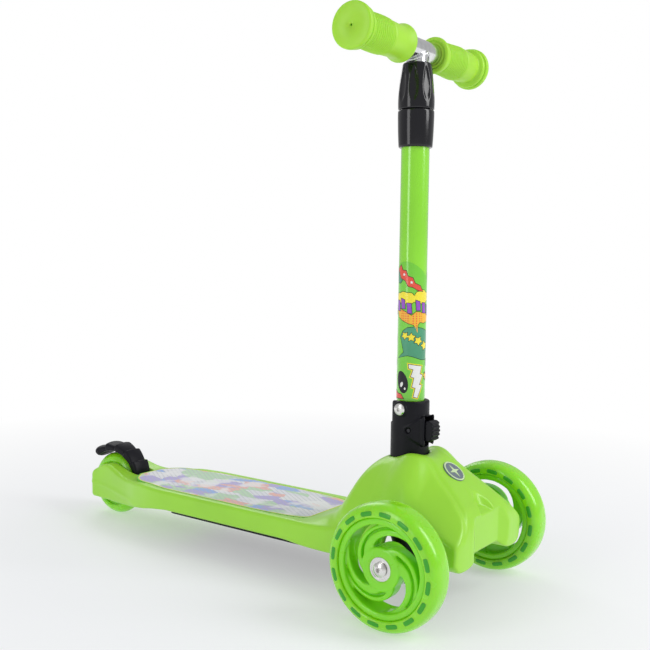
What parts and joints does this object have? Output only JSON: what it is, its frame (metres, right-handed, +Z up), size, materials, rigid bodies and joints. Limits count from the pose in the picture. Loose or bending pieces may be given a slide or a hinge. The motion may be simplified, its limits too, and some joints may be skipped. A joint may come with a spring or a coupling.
{
  "type": "kick scooter",
  "caption": "Child's lean-and-steer kick scooter with large front wheels, a small braked rear wheel, a folding stem and a telescoping T-bar.",
  "frame": {"origin": "on the floor, centred across the wheels and midway along the overall length", "axes": "+Y to the rear (front faces -Y), +X to the rider's left, +Z up"},
  "size_m": [0.248, 0.59, 0.5717],
  "materials": {
    "deck_green": "lime green moulded plastic, satin gloss",
    "printed_mat": "printed grip mat with a fine raised dot texture",
    "black_plastic": "black nylon, fine matte",
    "black_block": "black glass-filled nylon, slightly grained",
    "black_gloss": "black glossy plastic",
    "zinc_steel": "bright zinc-plated steel",
    "spring_steel": "drawn spring wire",
    "badge_grey": "grey domed badge with a pale ring",
    "rim_green": "lime green moulded nylon",
    "tyre_green": "translucent lime polyurethane",
    "tube_paint": "gloss lime powder paint",
    "decal_film": "printed comic-style film, abstract shapes",
    "bar_metal": "polished aluminium tube",
    "grip_rubber": "soft lime rubber with fine ribs"
  },
  "bodies": {
    "chassis": {"deck_shell": "deck_green", "deck_mat": "printed_mat", "bottom_plate": "black_plastic", "bottom_plate_screws": "zinc_steel", "hood_badge": "badge_grey", "front_truck_frame": "black_block", "truck_bolts": "zinc_steel", "truck_nuts": "zinc_steel", "kingpin_left": "zinc_steel", "kingpin_right": "zinc_steel", "centring_spring_left": "spring_steel", "centring_spring_right": "spring_steel", "rear_axle": "zinc_steel", "rear_spacers": "black_plastic", "fender_pin": "zinc_steel", "fender_spring": "spring_steel", "fold_block": "black_block", "block_bolts": "zinc_steel", "fold_bolt": "zinc_steel", "fold_nut": "zinc_steel", "latch_pin": "zinc_steel", "latch_spring": "spring_steel"},
    "knuckle_right": {"steering_knuckle_right": "black_plastic", "axle_bolt_right": "zinc_steel", "axle_nut_right": "zinc_steel", "axle_spacer_right": "zinc_steel", "tie_rod_pin_right": "zinc_steel"},
    "knuckle_left": {"steering_knuckle_left": "black_plastic", "axle_bolt_left": "zinc_steel", "axle_nut_left": "zinc_steel", "axle_spacer_left": "zinc_steel", "tie_rod_pin_left": "zinc_steel"},
    "tie_rod": {"tie_rod": "black_plastic"},
    "front_wheel_right": {"front_rim_right": "rim_green", "front_tyre_right": "tyre_green", "front_bearings_right": "zinc_steel"},
    "front_wheel_left": {"front_rim_left": "rim_green", "front_tyre_left": "tyre_green", "front_bearings_left": "zinc_steel"},
    "rear_wheel": {"rear_core": "rim_green", "rear_tyre": "tyre_green", "rear_bearings": "zinc_steel"},
    "brake": {"brake_fender": "black_block"},
    "latch": {"latch_lever": "black_block"},
    "stem": {"stem_knuckle": "black_block", "lower_tube": "tube_paint", "stem_rivet": "zinc_steel", "tube_decal": "decal_film", "collar_sleeve": "black_gloss", "clamp_collet": "black_plastic", "guide_bush": "black_plastic"},
    "twist_nut": {"twist_nut": "black_gloss"},
    "tbar": {"upper_tube": "bar_metal", "tube_foot": "black_plastic", "crossbar": "bar_metal", "grip_left": "grip_rubber", "grip_right": "grip_rubber"}
  },
  "joints": [
    {"name": "steer_right", "type": "hinge", "parent": "chassis", "child": "knuckle_right", "pos_m": [-0.074, -0.235, 0.06], "axis": [0, 0.342, 0.9397], "range_deg": [-10, 10], "stiffness_Nm_per_rad": 0.6},
    {"name": "steer_left", "type": "hinge", "parent": "chassis", "child": "knuckle_left", "pos_m": [0.074, -0.235, 0.06], "axis": [0, 0.342, 0.9397], "range_deg": [-10, 10], "stiffness_Nm_per_rad": 0.6},
    {"name": "tie_rod_pivot", "type": "hinge", "parent": "knuckle_right", "child": "tie_rod", "pos_m": [-0.074, -0.20192, 0.05147], "axis": [0, 0.342, 0.9397], "range_deg": [-10, 10]},
    {"name": "front_wheel_right_spin", "type": "hinge", "parent": "knuckle_right", "child": "front_wheel_right", "pos_m": [-0.108, -0.235, 0.06], "axis": [1, 0, 0], "continuous": true},
    {"name": "front_wheel_left_spin", "type": "hinge", "parent": "knuckle_left", "child": "front_wheel_left", "pos_m": [0.108, -0.235, 0.06], "axis": [1, 0, 0], "continuous": true},
    {"name": "rear_wheel_spin", "type": "hinge", "parent": "chassis", "child": "rear_wheel", "pos_m": [0, 0.255, 0.04], "axis": [1, 0, 0], "continuous": true},
    {"name": "brake_press", "type": "hinge", "parent": "chassis", "child": "brake", "pos_m": [0, 0.2095, 0.052], "axis": [-1, 0, 0], "range_deg": [0, 4], "stiffness_Nm_per_rad": 8},
    {"name": "stem_fold", "type": "hinge", "parent": "chassis", "child": "stem", "pos_m": [0, -0.1915, 0.189], "axis": [-1, 0, 0], "range_deg": [0, 90]},
    {"name": "latch_press", "type": "hinge", "parent": "chassis", "child": "latch", "pos_m": [0, -0.1998, 0.1677], "axis": [1, 0, 0], "range_deg": [0, 8], "stiffness_Nm_per_rad": 0.3},
    {"name": "twist_nut_turn", "type": "hinge", "parent": "stem", "child": "twist_nut", "pos_m": [0, -0.1915, 0.51], "axis": [0, 0, 1], "range_deg": [0, 90]},
    {"name": "bar_height", "type": "slide", "parent": "stem", "child": "tbar", "axis": [0, 0, 1], "range_m": [0, 0.14]}
  ],
  "couplings": [
    {"joint": "steer_left", "follows": "steer_right", "ratio": 1},
    {"joint": "tie_rod_pivot", "follows": "steer_right", "ratio": -1}
  ]
}
